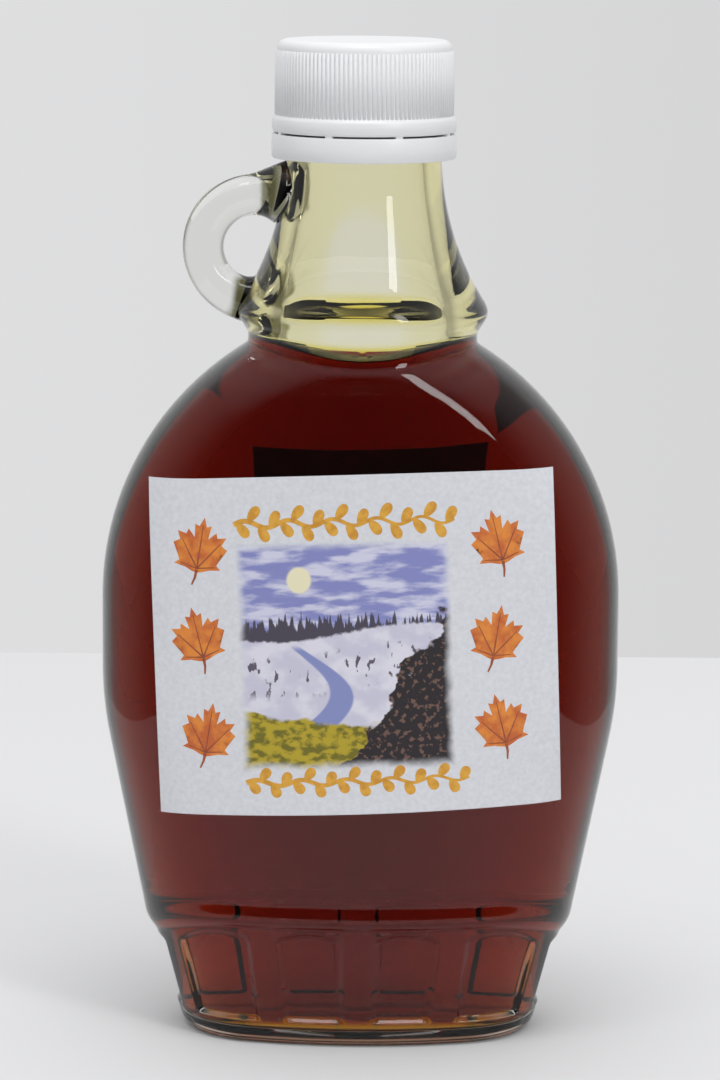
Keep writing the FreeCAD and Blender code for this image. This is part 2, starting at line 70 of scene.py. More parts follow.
SHOULDER_ARC, SHOULDER_DEPTH, SHOULDER_ROLL = 49.8, 20.5, 110.0
DIP_DEPTH, DIP_LOW, DIP_RISE, DIP_HIGH, DIP_FALL = 2.3, 104.0, 11.0, 124.0, 6.5
WAIST_RADIUS, WAIST_HEIGHT = 19.1, 118.6
COLLAR_LOW, COLLAR_HIGH, COLLAR_ARC = (20.2, 120.4), (20.3, 123.7), 2.6
NECK_RADIUS, NECK_TOP, NECK_ARC = 12.85, 149.0, -46.7
FINISH_RADIUS, RIM_HEIGHT = 12.6, 165.1
BORE_RADIUS, BORE_FLARE, BORE_FOOT, BORE_ARC = 9.75, 14.4, 120.5, 130.0


def between(start, stop, share):
    """The value at a share of the way from start to stop."""
    return start + (stop - start) * share


def eased(share):
    """A share held between 0 and 1, with a soft start and a soft stop."""
    share = np.clip(share, 0, 1)
    return share * share * (3 - 2 * share)


def side_half_width(z):
    """Half width from the ridge to the belly: a straight taper that rounds into the belly."""
    bend = BELLY_LOW - BELLY_ARC * math.sin(TAPER)
    if z > bend:
        return BELLY_WIDTH - BELLY_ARC + math.sqrt(BELLY_ARC ** 2 - (BELLY_LOW - z) ** 2)
    at_bend = BELLY_WIDTH - BELLY_ARC * (1 - math.cos(TAPER))
    return at_bend - math.tan(TAPER) * (bend - z)


def shoulder_top(inset):
    """Height at which the shoulder, moved inwards by a wall, reaches the neck."""
    reach = WAIST_RADIUS - inset - BELLY_WIDTH + SHOULDER_ARC
    return BELLY_HIGH + math.sqrt((SHOULDER_ARC - inset) ** 2 - reach ** 2)


def foot_section(z):
    """Half width and half depth of the tapered basket at a height."""
    share = z / BASKET_TOP
    return between(FOOT_WIDTH, BASKET_WIDTH, share), between(FOOT_DEPTH, BASKET_DEPTH, share)


def flask_section(z, inset=0.0):
    """Half width and half depth of the flask at a height, moved inwards by a wall."""
    if z < BASKET_TOP:
        wide, deep = foot_section(z)
        return wide - inset, deep - inset
    ridge_width = side_half_width(RIDGE_END + RIDGE_BAND)
    if z < RIDGE_END:
        share = (z - BASKET_TOP) / (RIDGE_END - BASKET_TOP)
        wide, deep = between(BASKET_WIDTH, ridge_width, share), between(BASKET_DEPTH, WALL_DEPTH, share)
        return wide - inset, deep - inset
    if z < BELLY_LOW:
        wide = max(side_half_width(z), ridge_width)
        share = (wide - ridge_width) / (BELLY_WIDTH - ridge_width)
        return wide - inset, between(WALL_DEPTH, BELLY_DEPTH, share) - inset
    if z < BELLY_HIGH:
        return BELLY_WIDTH - inset, BELLY_DEPTH - inset
    rise = z - BELLY_HIGH
    wide = BELLY_WIDTH - SHOULDER_ARC + math.sqrt((SHOULDER_ARC - inset) ** 2 - rise ** 2)
    if z < SHOULDER_ROLL:
        share = (rise / (SHOULDER_ROLL - BELLY_HIGH)) ** 2
        return wide, between(BELLY_DEPTH, SHOULDER_DEPTH, share) - inset
    turn = min(1.0, (z - SHOULDER_ROLL) / (shoulder_top(inset) - SHOULDER_ROLL))
    drop = (SHOULDER_DEPTH - WAIST_RADIUS) * (1 - math.sqrt(1 - turn * turn))
    return wide, SHOULDER_DEPTH - drop - inset


def skirt_rows():
    """Rows (height at the ends, half width, half depth, extra height in front) of the basket, the
    band that rolls out to the ridge, the ridge and the foot of the wall above it. The ridge bows
    up towards the front and the back; it faces up a little, and the roll below it faces down."""
    rows = []
    heel_rows, ledge_rows = np.arange(2.3, 2.9, 0.3), np.arange(2.9, 5.2, 0.1)
    scoop_rows, arch_rows = np.arange(5.3, 12.7, 0.68), np.arange(12.78, ROLL_END, 0.34)
    for z in np.concatenate([heel_rows, ledge_rows, scoop_rows, arch_rows]):
        lift = ROLL_BOW * z / ROLL_END
        rows.append((z, foot_section(z)[0], foot_section(z + lift)[1], lift))
    low_width, low_depth = foot_section(ROLL_END)[0], foot_section(ROLL_FRONT)[1]
    for share in np.linspace(0, 1, 14):
        bulge = ROLL_BULGE * math.sin(math.pi * share)
        rows.append((between(ROLL_END, RIDGE_END, share),
                     between(low_width, side_half_width(RIDGE_END), share) + bulge,
                     between(low_depth, RIDGE_DEPTH, share) + bulge,
                     between(ROLL_BOW, RIDGE_BOW, share)))
    for share in (0.2, 0.4, 0.6, 0.8, 1.0):
        z = RIDGE_END + RIDGE_BAND * share
        rows.append((z, side_half_width(z), RIDGE_DEPTH - RIDGE_FALL * share, RIDGE_BOW))
    return rows


def arc(start, stop, radius, steps):
    """Points (radius, height) on the arc from start to stop, which bulges to the right of the
    way, or to its left where the radius is negative. The first point is left out."""
    start, stop = Vector(start), Vector(stop)
    chord = stop - start
    side = 1 if radius > 0 else -1
    across = Vector((chord.y, -chord.x)).normalized() * side
    centre = (start + stop) / 2 - across * math.sqrt(radius ** 2 - (chord.length / 2) ** 2)
    begin = math.atan2(start.y - centre.y, start.x - centre.x)
    end = math.atan2(stop.y - centre.y, stop.x - centre.x)
    sweep = (end - begin + math.pi) % (2 * math.pi) - math.pi
    points = []
    for step in range(1, steps + 1):
        turn = begin + sweep * step / steps
        points.append((centre.x + abs(radius) * math.cos(turn), centre.y + abs(radius) * math.sin(turn)))
    return points


def rounded(rows, reach):
    """A profile with its corners eased: each row becomes the mean of its neighbours within reach
    along the profile. The rows are (height, half width, half depth, extra height in front)."""
    rows = np.array(rows, float)
    columns, spacing = range(rows.shape[1]), 0.08
    steps = np.linalg.norm(np.diff(rows[:, :2], axis=0), axis=1)
    along = np.concatenate([[0], np.cumsum(steps)])
    fine = np.linspace(0, along[-1], int(along[-1] / spacing))
    dense = np.stack([np.interp(fine, along, rows[:, k]) for k in columns], 1)
    count = max(1, int(reach / spacing))
    kernel = np.hanning(2 * count + 3)[1:-1]
    kernel /= kernel.sum()
    before, after = 2 * dense[:1] - dense[count:0:-1], 2 * dense[-1:] - dense[-2:-count - 2:-1]
    padded = np.concatenate([before, dense, after])
    smooth = np.stack([np.convolve(padded[:, k], kernel, "valid") for k in columns], 1)
    return np.stack([np.interp(along, fine, smooth[:, k]) for k in columns], 1)


def facing(columns):
    """The outward direction of each column of a ring. It is the same at every height: a quarter
    of the columns go to each end arc, and a quarter to the front and to the back."""
    share = np.arange(columns) / columns * 8
    stops = [0, 1, 3, 5, 7, 8]
    open_arc = math.pi / 2 - END_ARC
    angles = [0, open_arc, open_arc + 2 * END_ARC, 3 * open_arc + 2 * END_ARC,
              3 * open_arc + 4 * END_ARC, 4 * open_arc + 4 * END_ARC]
    return np.interp(share, stops, angles) - math.pi / 2


def oval(half_width, half_depth, columns, sunk=0.0):
    """A ring of points on the four-arc oval, sunk below it by a depth for each column."""
    turn = facing(columns)
    gap = (half_width - half_depth) / (math.sin(END_ARC) + math.cos(END_ARC) - 1)
    end = half_width - gap * math.cos(END_ARC)
    cos, sin = np.cos(turn), np.sin(turn)
    at_end = np.abs(sin) <= math.sin(END_ARC) + 1e-9
    radius = np.where(at_end, end, end + gap) - sunk
    x = radius * cos + np.where(at_end, np.sign(cos) * gap * math.cos(END_ARC), 0)
    y = radius * sin - np.where(at_end, 0, np.sign(sin) * gap * math.sin(END_ARC))
    return np.stack([x, y], 1)


def climb(turn):
    """How far a bowed edge has climbed from its low ends, 0, towards the front and back, 1."""
    return 1 - np.abs(np.cos(turn)) ** 3


def panel_sink(columns, heights):
    """Depth of the basket's ten arched panels for each column of a ring. A pillar stands on the
    front centre line, and one panel is centred on each end. Each panel is scooped: a short steep
    ledge at its foot, deepest at the middle, and shallow under its arch."""
    around = oval(BASKET_WIDTH, BASKET_DEPTH, columns)
    steps = np.linalg.norm(np.roll(around, -1, axis=0) - around, axis=1)
    along = np.concatenate([[0], np.cumsum(steps)])[:-1]
    quarter = steps.sum() / 4
    fold = np.abs((along + quarter) % (2 * quarter) - quarter)
    edge = ROLL_END - PANEL_GAP + ROLL_BOW * climb(facing(columns))
    narrow = (foot_section(heights)[0] / BASKET_WIDTH) ** 0.4
    sink = np.zeros(columns)
    for low, high in (*PANELS, (END_PANEL, 2 * quarter - END_PANEL)):
        half = (high - low) / 2 * narrow
        aside = np.abs(fold - (low + high) / 2)
        arch = edge + PANEL_ARCH * (1 - np.minimum(aside / half, 1) ** 2)
        rise = np.clip(heights - PANEL_FOOT, 0, None)
        share = np.clip(rise / (arch - PANEL_FOOT), 0, 1)
        scoop = LEDGE_DEPTH * np.clip(rise / LEDGE_RISE, 0, 1) + SCOOP_DEPTH * 4 * share * (1 - share)
        scoop = scoop * eased((half - aside) / PANEL_SIDE) * eased((arch - heights) / PANEL_HEAD)
        sink = np.maximum(sink, scoop)
    return sink


def dip(z, turn):
    """How far the neck's root sinks in front and behind, where the flat faces roll over."""
    fade = eased((z - DIP_LOW) / DIP_RISE) * eased((DIP_HIGH - z) / DIP_FALL)
    return DIP_DEPTH * fade * np.abs(np.sin(turn)) ** 3


def skin(rings):
    """Vertices and faces of stacked rings. A ring is (columns, points); a ring with twice the
    columns of the next is stitched to it with triangles. The first and last are closed."""
    points, faces, starts = [], [], []
    for ring in rings:
        starts.append(len(points))
        points.extend(ring)
    for low, high, first, second in zip(rings, rings[1:], starts, starts[1:]):
        wide, narrow = len(low), len(high)
        if wide == narrow:
            for j in range(wide):
                k = (j + 1) % wide
                faces.append((first + j, first + k, second + k, second + j))
        elif wide == 2 * narrow:
            for j in range(narrow):
                k = (j + 1) % narrow
                a, b, c = first + 2 * j, first + 2 * j + 1, first + (2 * j + 2) % wide
                faces += [(a, b, second + j), (b, second + k, second + j), (b, c, second + k)]
        else:
            for j in range(wide):
                k = (j + 1) % wide
                a, b, c = second + 2 * j, second + 2 * j + 1, second + (2 * j + 2) % narrow
                faces += [(first + j, b, a), (first + j, first + k, b), (first + k, c, b)]
    for ring, start, flip in ((rings[0], starts[0], True), (rings[-1], starts[-1], False)):
        centre = len(points)
        points.append(np.mean(ring, axis=0))
        for j in range(len(ring)):
            k = (j + 1) % len(ring)
            faces.append((centre, start + k, start + j) if flip else (centre, start + j, start + k))
    return points, faces


def new_piece(name, points, faces):
    """A smooth-shaded object in the row's frame from points in millimetres."""
    mesh = bpy.data.meshes.new(name)
    mesh.from_pydata([Vector(p) * MM for p in points], [], faces)
    mesh.update()
    piece = bpy.data.objects.new(name, mesh)
    bpy.context.scene.collection.objects.link(piece)
    for polygon in mesh.polygons:
        polygon.use_smooth = True
    return piece


def ring_at(row, columns, panels=False):
    """A ring of 3-D points from a row (height, half width, half depth, extra height in front),
    with the neck's root dipping in front and behind."""
    z, half_width, half_depth, lift = row
    turn = facing(columns)
    height = z + lift * climb(turn) - dip(z, turn)
    sunk = panel_sink(columns, height) if panels else 0.0
    return np.column_stack([oval(half_width, half_depth, columns, sunk), height])


FINE, COARSE = 480, 240
heel = []
for step in range(9):
    bend = HEEL_BEND * step / 8
    heel.append((HEEL_RADIUS * (1 - math.cos(bend)), STAND_WIDTH + HEEL_RADIUS * math.sin(bend),
                 STAND_DEPTH + HEEL_REACH * math.sin(bend), 0.0))
wall_rows = [23.1, 23.5, 24.0, 24.8, 25.8, 27.0, 28.4]
wall_rows += [*np.arange(30.0, 99.0, 2.0), *np.arange(100.0, 116.7, 0.5)]
upper = []
for z in wall_rows:
    upper.append((z, *flask_section(z), RIDGE_BOW * max(0.0, BOW_END - z) / (BOW_END - BOW_FOOT)))
neck_line = [(WAIST_RADIUS, z) for z in (117.0, 117.6, 118.1, WAIST_HEIGHT)]
neck_line += [(19.6, 119.45), COLLAR_LOW] + arc(COLLAR_LOW, COLLAR_HIGH, COLLAR_ARC, 8)
neck_line += arc(COLLAR_HIGH, (NECK_RADIUS, NECK_TOP), NECK_ARC, 26)
# the neck ends in a bead under the cap, a straight finish and a rounded rim
neck_line += [(NECK_RADIUS, 150.4), (NECK_RADIUS, 151.6), (13.2, 152.0), (13.8, 152.4), (13.8, 153.2)]
neck_line += [(13.1, 154.0)] + [(FINISH_RADIUS, z) for z in (154.6, 158.0, 161.5)]
neck_line += [(12.5, 163.8), (12.2, 164.7), (11.6, RIM_HEIGHT)]
upper += [(z, radius, radius, 0.0) for radius, z in neck_line]
outer_rings = []
for row in rounded(heel + skirt_rows() + upper, 0.6):
    in_basket = row[0] < RIDGE_END
    outer_rings.append(ring_at(row, FINE if in_basket else COARSE, in_basket))

# the inside: a straight bore that flares into the flask, a wall that thickens at the neck's root
# and behind the panels, and a rounded heel
bore = [(10.4, RIM_HEIGHT), (9.9, 164.7)] + [(BORE_RADIUS, z) for z in (163.8, 158.0, 152.0, NECK_TOP)]
bore += arc((BORE_RADIUS, NECK_TOP), (BORE_FLARE, BORE_FOOT), BORE_ARC, 14)
inner = [(z, radius, radius, 0.0) for radius, z in bore]
inside_top = shoulder_top(WALL)
insets = []
for z in np.arange(inside_top - 0.3, 108.0, -0.45):
    rise = max(0.0, (z - SHOULDER_ROLL) / (inside_top - SHOULDER_ROLL))
    insets.append((z, WALL + NECK_ROOT * rise ** 2))
insets += [(z, WALL) for z in np.arange(107.5, THICK_FROM, -2.2)]
for z in (26.0, 24.5, 23.0, 21.5, 20.0, 18.5, 17.0, 15.5, 14.0, 12.0, 10.0, 8.0):
    insets.append((z, WALL + PANEL_WALL * min(1.0, (THICK_FROM - z) / THICK_OVER)))
for step in range(11):
    bend = math.pi / 2 * step / 10
    insets.append((FLOOR + INNER_HEEL * (1 - math.sin(bend)),
                   WALL + PANEL_WALL + INNER_HEEL * (1 - math.cos(bend))))
inner += [(z, *flask_section(z, inset), 0.0) for z, inset in insets]
inner = rounded(inner, 0.8)
inner_rings = [ring_at(row, COARSE) for row in inner]


def graded(ring, shares):
    """Rings that shrink from a ring towards its middle, so that a flat end has a fair mesh."""
    middle = np.mean(ring, axis=0)
    return [middle + (ring - middle) * share for share in shares]


INWARDS = (0.95, 0.85, 0.7, 0.5, 0.3, 0.1)
foot_rings = graded(outer_rings[0], INWARDS[::-1])
floor_rings = graded(inner_rings[-1], INWARDS)
points, faces = skin(foot_rings + outer_rings + inner_rings + floor_rings)
glass = new_piece("bottle_glass", points, faces)
first_inside = sum(len(ring) for ring in foot_rings + outer_rings)
for polygon in glass.data.polygons:
    polygon.material_index = 1 if min(polygon.vertices) >= first_inside else 0


# the ring's centre, its radius and the radius of its bar; its ends in degrees round the ring; and
# how far it swells and lifts at each joint
RING_OFFSET, RING_HEIGHT, RING_RADIUS, RING_BAR = 17.9, 132.6, 8.7, 3.4
RING_TOP, RING_FOOT = 52.0, 286.0
TOP_START, TOP_FADE, TOP_SWELL, TOP_LIFT = 98.0, 37.0, 2.76, 2.52
FOOT_FADE, FOOT_SWELL, FOOT_LIFT = 17.0, 1.9, 0.6


def ring_handle():
    """The ring handle as a tube round a circle that runs into the neck at both ends, with its
    section swelling where the hot glass was pressed on."""
    rows, sides = 96, 40
    tube = []
    for row in range(rows + 1):
        degrees = between(RING_TOP, RING_FOOT, row / rows)
        turn = math.radians(degrees)
        away = Vector((math.cos(turn), 0, math.sin(turn)))
        near_top = 1 - math.cos(math.pi / 2 * min(1.0, max(0.0, (TOP_START - degrees) / TOP_FADE)))
        near_foot = math.exp((degrees - RING_FOOT) / FOOT_FADE)
        swell = RING_BAR + TOP_SWELL * near_top + FOOT_SWELL * near_foot
        lift = TOP_LIFT * near_top + FOOT_LIFT * near_foot
        centre = Vector((-RING_OFFSET, 0, RING_HEIGHT)) + away * (RING_RADIUS + lift)
        for side in range(sides):
            angle = 2 * math.pi * side / sides
            across = Vector((0, swell * math.sin(angle), 0))
            tube.append(centre + away * (swell * math.cos(angle)) + across)
    faces = []
    for row in range(rows):
        for side in range(sides):
            nxt = (side + 1) % sides
            a, b = row * sides, (row + 1) * sides
            faces.append((a + side, a + nxt, b + nxt, b + side))
    faces.append(tuple(range(sides - 1, -1, -1)))
    faces.append(tuple(rows * sides + side for side in range(sides)))
    return new_piece("ring_tube", tube, faces)


def circle_at(radius, height, columns):
    """Points round the axis at a radius and a height."""
    turn = 2 * np.pi * np.arange(columns) / columns
    return np.column_stack([radius * np.cos(turn), radius * np.sin(turn), np.full(columns, height)])


def turned(name, line, columns):
    """A closed piece turned about the axis from points (radius, height)."""
    return new_piece(name, *skin([circle_at(radius, height, columns) for radius, height in line]))


def face_outwards(piece):
    """Turns every face of a closed piece to point outwards."""
    work = bmesh.new()
    work.from_mesh(piece.data)
    bmesh.ops.recalc_face_normals(work, faces=work.faces)
    work.to_mesh(piece.data)
    work.free()


def combined(piece, other, operation):
    """Joins another closed piece to this one, or cuts it away, and removes the other piece."""
    change = piece.modifiers.new(operation, "BOOLEAN")
    change.operation = operation
    change.solver = "EXACT"
    change.object = other
    graph = bpy.context.evaluated_depsgraph_get()
    mesh = bpy.data.meshes.new_from_object(piece.evaluated_get(graph))
    piece.modifiers.clear()
    piece.data = mesh
    bpy.data.objects.remove(other)


# the ring is cut back by a core round the bore, so that its ends stay inside the neck's wall;
# edges sharper than SHARP stay crisp
CORE_MARGIN, CORE_TOP, SHARP = 1.3, 160, math.radians(50)
ring = ring_handle()
core_line = [(radius + CORE_MARGIN, z) for radius, z in reversed(bore) if z < CORE_TOP]
bore_core = turned("bore_core", core_line, 96)
for piece in (glass, ring, bore_core):
    face_outwards(piece)
combined(ring, bore_core, "DIFFERENCE")
combined(glass, ring, "UNION")
joined = glass.data
joined.name = "bottle_glass"
for polygon in joined.polygons:
    polygon.use_smooth = True
joined.set_sharp_from_angle(angle=SHARP)


def tree_of(owner):
    """The node tree of a material or a world, or a node group itself."""
    return owner.node_tree if hasattr(owner, "node_tree") else owner


def feed(owner, socket, value):
    """Links another node's socket to an input, or gives the input a value. A colour has no alpha."""
    if isinstance(value, bpy.types.NodeSocket):
        tree_of(owner).links.new(value, socket)
    else:
        socket.default_value = (*value, 1) if socket.type == "RGBA" else value


def node(owner, kind, **values):
    """A node with its properties and inputs set. From_Min is the input From Min, and i0 the first."""
    made = tree_of(owner).nodes.new(kind)
    for key, value in values.items():
        name = key.replace("_", " ")
        if hasattr(made, key) and key not in made.inputs:
            setattr(made, key, value)
        elif key[0] == "i" and key[1:].isdigit():
            feed(owner, made.inputs[int(key[1:])], value)
        else:
            feed(owner, made.inputs[name], value)
    return made


def new_material(name, **values):
    """A node material and its Principled shader, with the shader's inputs set."""
    material = bpy.data.materials.new(name)
    material.use_nodes = True
    shader = material.node_tree.nodes["Principled BSDF"]
    for key, value in values.items():
        feed(material, shader.inputs[key.replace("_", " ")], value)
    return material, shader


def new_tree(name, kind, takes, gives):
    """A node group with named inputs and outputs, and the sockets at its two ends."""
    tree = bpy.data.node_groups.new(name, kind)
    for side, sockets in (("INPUT", takes), ("OUTPUT", gives)):
        for socket, value_kind in sockets.items():
            tree.interface.new_socket(socket, in_out=side, socket_type="NodeSocket" + value_kind)
    return tree, tree.nodes.new("NodeGroupInput").outputs, tree.nodes.new("NodeGroupOutput").inputs


def maths(owner, operation, *values):
    """A value worked out from others."""
    given = {f"i{index}": value for index, value in enumerate(values)}
    return node(owner, "ShaderNodeMath", operation=operation, **given).outputs["Value"]


def soft_step(owner, value, low, high, start=0.0, stop=1.0):
    """A soft edge: start where the value is below low, stop where it is above high."""
    return node(owner, "ShaderNodeMapRange", Value=value, interpolation_type="SMOOTHSTEP",
                From_Min=low, From_Max=high, To_Min=start, To_Max=stop).outputs["Result"]


def laid_over(owner, under, mask, colour):
    """One colour laid over another through a mask."""
    return node(owner, "ShaderNodeMix", data_type="RGBA", i0=mask, i6=under, i7=colour).outputs[2]


# fine grain: the small unevenness of a surface, as in glass, moulded plastic and paper
grain, given, result = new_tree("fine_grain", "ShaderNodeTree", {
    "Scale": "Float", "Detail": "Float", "Strength": "Float", "Distance": "Float"}, {"Normal": "Vector"})
place = node(grain, "ShaderNodeTexCoord")
noise = node(grain, "ShaderNodeTexNoise", Vector=place.outputs["Object"],
             Scale=given["Scale"], Detail=given["Detail"])
bumps = node(grain, "ShaderNodeBump", Height=noise.outputs["Fac"],
             Strength=given["Strength"], Distance=given["Distance"])
feed(grain, result["Normal"], bumps.outputs["Normal"])


def grained(material, shader, **values):
    """Gives a material fine grain of this scale, detail, strength and depth."""
    made = node(material, "ShaderNodeGroup", node_tree=grain, **values)
    feed(material, shader.inputs["Normal"], made.outputs["Normal"])


clear_glass, shader = new_material("clear_glass", Roughness=0.0, IOR=1.5, Transmission_Weight=1.0,
                                   Specular_Tint=(0.8, 0.8, 0.8))
grained(clear_glass, shader, Scale=70.0, Detail=1.5, Strength=0.25, Distance=0.0005)
place = node(clear_glass, "ShaderNodeTexCoord")
spot = node(clear_glass, "ShaderNodeSeparateXYZ", Vector=place.outputs["Object"])


def patch(across, up, soft_across, soft_up):
    """A soft-edged patch of the glass: 1 between two distances across and two heights."""
    sides = []
    for axis, (low, high), soft in (("X", across, soft_across), ("Z", up, soft_up)):
        rise = soft_step(clear_glass, spot.outputs[axis], (low - soft) * MM, low * MM)
        fall = soft_step(clear_glass, spot.outputs[axis], high * MM, (high + soft) * MM, 1.0, 0.0)
        sides.append(maths(clear_glass, "MULTIPLY", rise, fall))
    return maths(clear_glass, "MULTIPLY", *sides)


# the glass is thick where the ring was pressed on; there its joints are painted a dark olive, painted shade
# laid over the glass's own slight tint
top_joint = patch((-15.3, -13.0), (138.6, 152.0), 1.4, 1.6)
foot_joint = patch((-20.7, -18.6), (121.6, 127.0), 1.4, 1.6)
joint_shade = maths(clear_glass, "ADD", top_joint, foot_joint)
# painted shade: the joints are darkened in the glass's own colour
tint_and_painted_shade = laid_over(clear_glass, (0.915, 0.92, 0.885), joint_shade, (0.12, 0.115, 0.05))
# painted shade: the foot's glass is painted the dark brown of the syrup seen through it from above, except at
# its ends
foot = patch((-19.0, 19.0), (-1.0, 1.7), 7.0, 1.2)
tint_and_painted_shade = laid_over(clear_glass, tint_and_painted_shade, foot, (0.24, 0.115, 0.065))
feed(clear_glass, shader.inputs["Base Color"], tint_and_painted_shade)

# the inside of the wall is plain, because the syrup wets it
wet_glass, shader = new_material("inside_glass", Roughness=0.0, IOR=1.5, Transmission_Weight=1.0,
                                 Specular_Tint=(0.0, 0.0, 0.0), Base_Color=(1, 1, 1))

for material in (clear_glass, wet_glass):
    joined.materials.append(material)
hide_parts("glass_bottle")
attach(glass, "root")

# -------------------------------------------------------------------------------------- syrup
# Dark maple syrup fills the flask to the waist of the neck. It reaches a little into the wall,
# so that no air shows between it and the glass, and it creeps up the bore at its edge.
FILL, FILM_TOP = 117.4, 160.0
REACH, FILM, DRAINED = 0.06, 0.13, 0.75
WINDOW_FOOT, WINDOW_TOP, WINDOW_HALF, ARCH_DROP, ARCH_HALF, NECK_HALF = 119.0, 139.0, 8.5, 6.0, 9.0, 15.0
# the surface of the pool: (distance from the bore's edge, height of the creep)
CREEP = ((0.3, 0.42), (0.5, 0.24), (0.8, 0.1), (1.2, 0.03), (2.0, 0.0), (5.0, 0.0), (8.0, 0.0), (11.0, 0.0))


def window(turn, z):
    """Where the film has drained thin: an arch-topped field in front and behind, 0 to 1."""
    across = np.abs(np.cos(turn)) * NECK_HALF
    top = WINDOW_TOP - ARCH_DROP * (across / ARCH_HALF) ** 2
    inside = np.clip((WINDOW_HALF - across) / 2.0, 0, 1) * np.clip((top - z) / 1.5, 0, 1)
    return inside * np.clip((z - WINDOW_FOOT) / 3.0, 0, 1)


pool_rings, film_rings = [], []
for row in inner:
    z, wide, deep, lift = row
    if z < FILM_TOP:
        down = REACH if z < FLOOR + 0.3 else 0.0
        pool_rings.append(ring_at((z - down, wide + REACH, deep + REACH, lift), COARSE))
    if FILL + 0.5 < z < FILM_TOP:
        ring = ring_at((z, wide, deep, lift), COARSE)
        thin = FILM * (1 - DRAINED * window(facing(COARSE), z))
        ring[:, :2] *= (1 - thin / wide)[:, None]
        film_rings.append(ring)
edge = min((abs(row[0] - FILL), row[1]) for row in inner)[1]
pool_top = []
for back, height in (*CREEP, (edge - 0.8, 0.0)):
    pool_top.append(ring_at((FILL + height, edge - back, edge - back, 0.0), COARSE))
floor = graded(pool_rings[-1], INWARDS)
rings = list(reversed(pool_top)) + list(reversed(film_rings)) + pool_rings + floor
points, faces = skin(rings)
syrup = new_piece("syrup_fill", points, [tuple(reversed(face)) for face in faces])
face_outwards(syrup)
amber, shader = new_material("maple_syrup", Base_Color=(1, 1, 1), Roughness=0.0, IOR=1.485,
                             Transmission_Weight=1.0, Specular_Tint=(0.0, 0.0, 0.0))
soak = node(amber, "ShaderNodeVolumeAbsorption", Color=(0.941, 0.846, 0.0), Density=1200.0)
feed(amber, amber.node_tree.nodes["Material Output"].inputs["Volume"], soak.outputs["Volume"])
syrup.data.materials.append(amber)
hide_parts("syrup")
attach(syrup, "root")

# ---------------------------------------------------------------------------------- screw cap
# A white polypropylene screw cap, injection moulded, with fine ribs down its skirt to grip, a
# smooth bead at its foot and a flat top with a rounded edge.
CAP_TOP, CAP_LOW, CAP_RADIUS, CAP_ROOF = 167.0, 151.9, 14.55, 165.05
RIB_COUNT, RIB_MIDDLE, RIB_LENGTH, RIB_RADIUS = 120, 160.0, 10.6, 0.28
cap_line = [(radius, CAP_TOP) for radius in (4.0, 8.0, 12.0, 12.9)]
cap_line += arc((12.9, CAP_TOP), (CAP_RADIUS, CAP_TOP - 1.5), -1.6, 8)
cap_line += [(CAP_RADIUS, 160.0), (CAP_RADIUS, 156.0), (14.6, 154.9), (14.85, 154.5), (15.1, 154.3)]
cap_line += [(15.25, 154.0), (15.28, 153.2), (15.25, 152.3), (15.1, 152.0), (14.9, CAP_LOW)]
cap_line += [(14.3, CAP_LOW), (14.15, 152.2), (14.1, 156.0), (14.1, CAP_ROOF)]
cap = turned("cap_shell", cap_line, 240)
face_outwards(cap)
cap.data.set_sharp_from_angle(angle=SHARP)

# uneven tone: a surface that wanders between a dark and a light shade, as plastic, paper and ink do
uneven, given, result = new_tree("uneven_tone", "ShaderNodeTree", {
    "Scale": "Float", "Dark": "Color", "Light": "Color", "From": "Float", "To": "Float"}, {"Color": "Color"})
place = node(uneven, "ShaderNodeTexCoord")
noise = node(uneven, "ShaderNodeTexNoise", Vector=place.outputs["Object"], Scale=given["Scale"], Detail=3.0)
share = node(uneven, "ShaderNodeMapRange", Value=noise.outputs["Fac"],
             From_Min=given["From"], From_Max=given["To"])
shade = laid_over(uneven, given["Dark"], share.outputs["Result"], given["Light"])
feed(uneven, result["Color"], shade)


def toned(material, scale, dark, light, start=0.0, stop=1.0):
    """A colour in a material that wanders between two shades."""
    made = node(material, "ShaderNodeGroup", node_tree=uneven, Scale=scale, Dark=dark, Light=light,
                From=start, To=stop)
    return made.outputs["Color"]


plastic, shader = new_material("white_polypropylene", Roughness=0.34, IOR=1.49)
feed(plastic, shader.inputs["Base Color"], toned(plastic, 160.0, (0.86, 0.875, 0.89), (0.89, 0.9, 0.91)))
grained(plastic, shader, Scale=2200.0, Detail=2.0, Strength=0.25, Distance=0.00004)
cap.data.materials.append(plastic)


def rib_tree():
    """A node tree that sets one rib at each step round the cap."""
    tree, given, result = new_tree("cap_ribs", "GeometryNodeTree", {
        "Geometry": "Geometry", "Count": "Int", "Radius": "Float", "Middle": "Float", "Length": "Float",
        "Width": "Float", "Finish": "Material"}, {"Geometry": "Geometry"})
    circle = node(tree, "GeometryNodeMeshCircle", Vertices=given["Count"], Radius=given["Radius"])
    rib = node(tree, "GeometryNodeMeshCylinder", Vertices=8, Radius=given["Width"], Depth=given["Length"])
    lift = node(tree, "ShaderNodeCombineXYZ", Z=given["Middle"])
    made = node(tree, "GeometryNodeTransform", Geometry=circle.outputs["Mesh"],
                Translation=lift.outputs["Vector"])
    made = node(tree, "GeometryNodeInstanceOnPoints", Points=made.outputs["Geometry"],
                Instance=rib.outputs["Mesh"])
    made = node(tree, "GeometryNodeRealizeInstances", Geometry=made.outputs["Instances"])
    made = node(tree, "GeometryNodeSetShadeSmooth", Geometry=made.outputs["Geometry"])
    made = node(tree, "GeometryNodeSetMaterial", Geometry=made.outputs["Geometry"], Material=given["Finish"])
    feed(tree, result["Geometry"], made.outputs["Geometry"])
    return tree


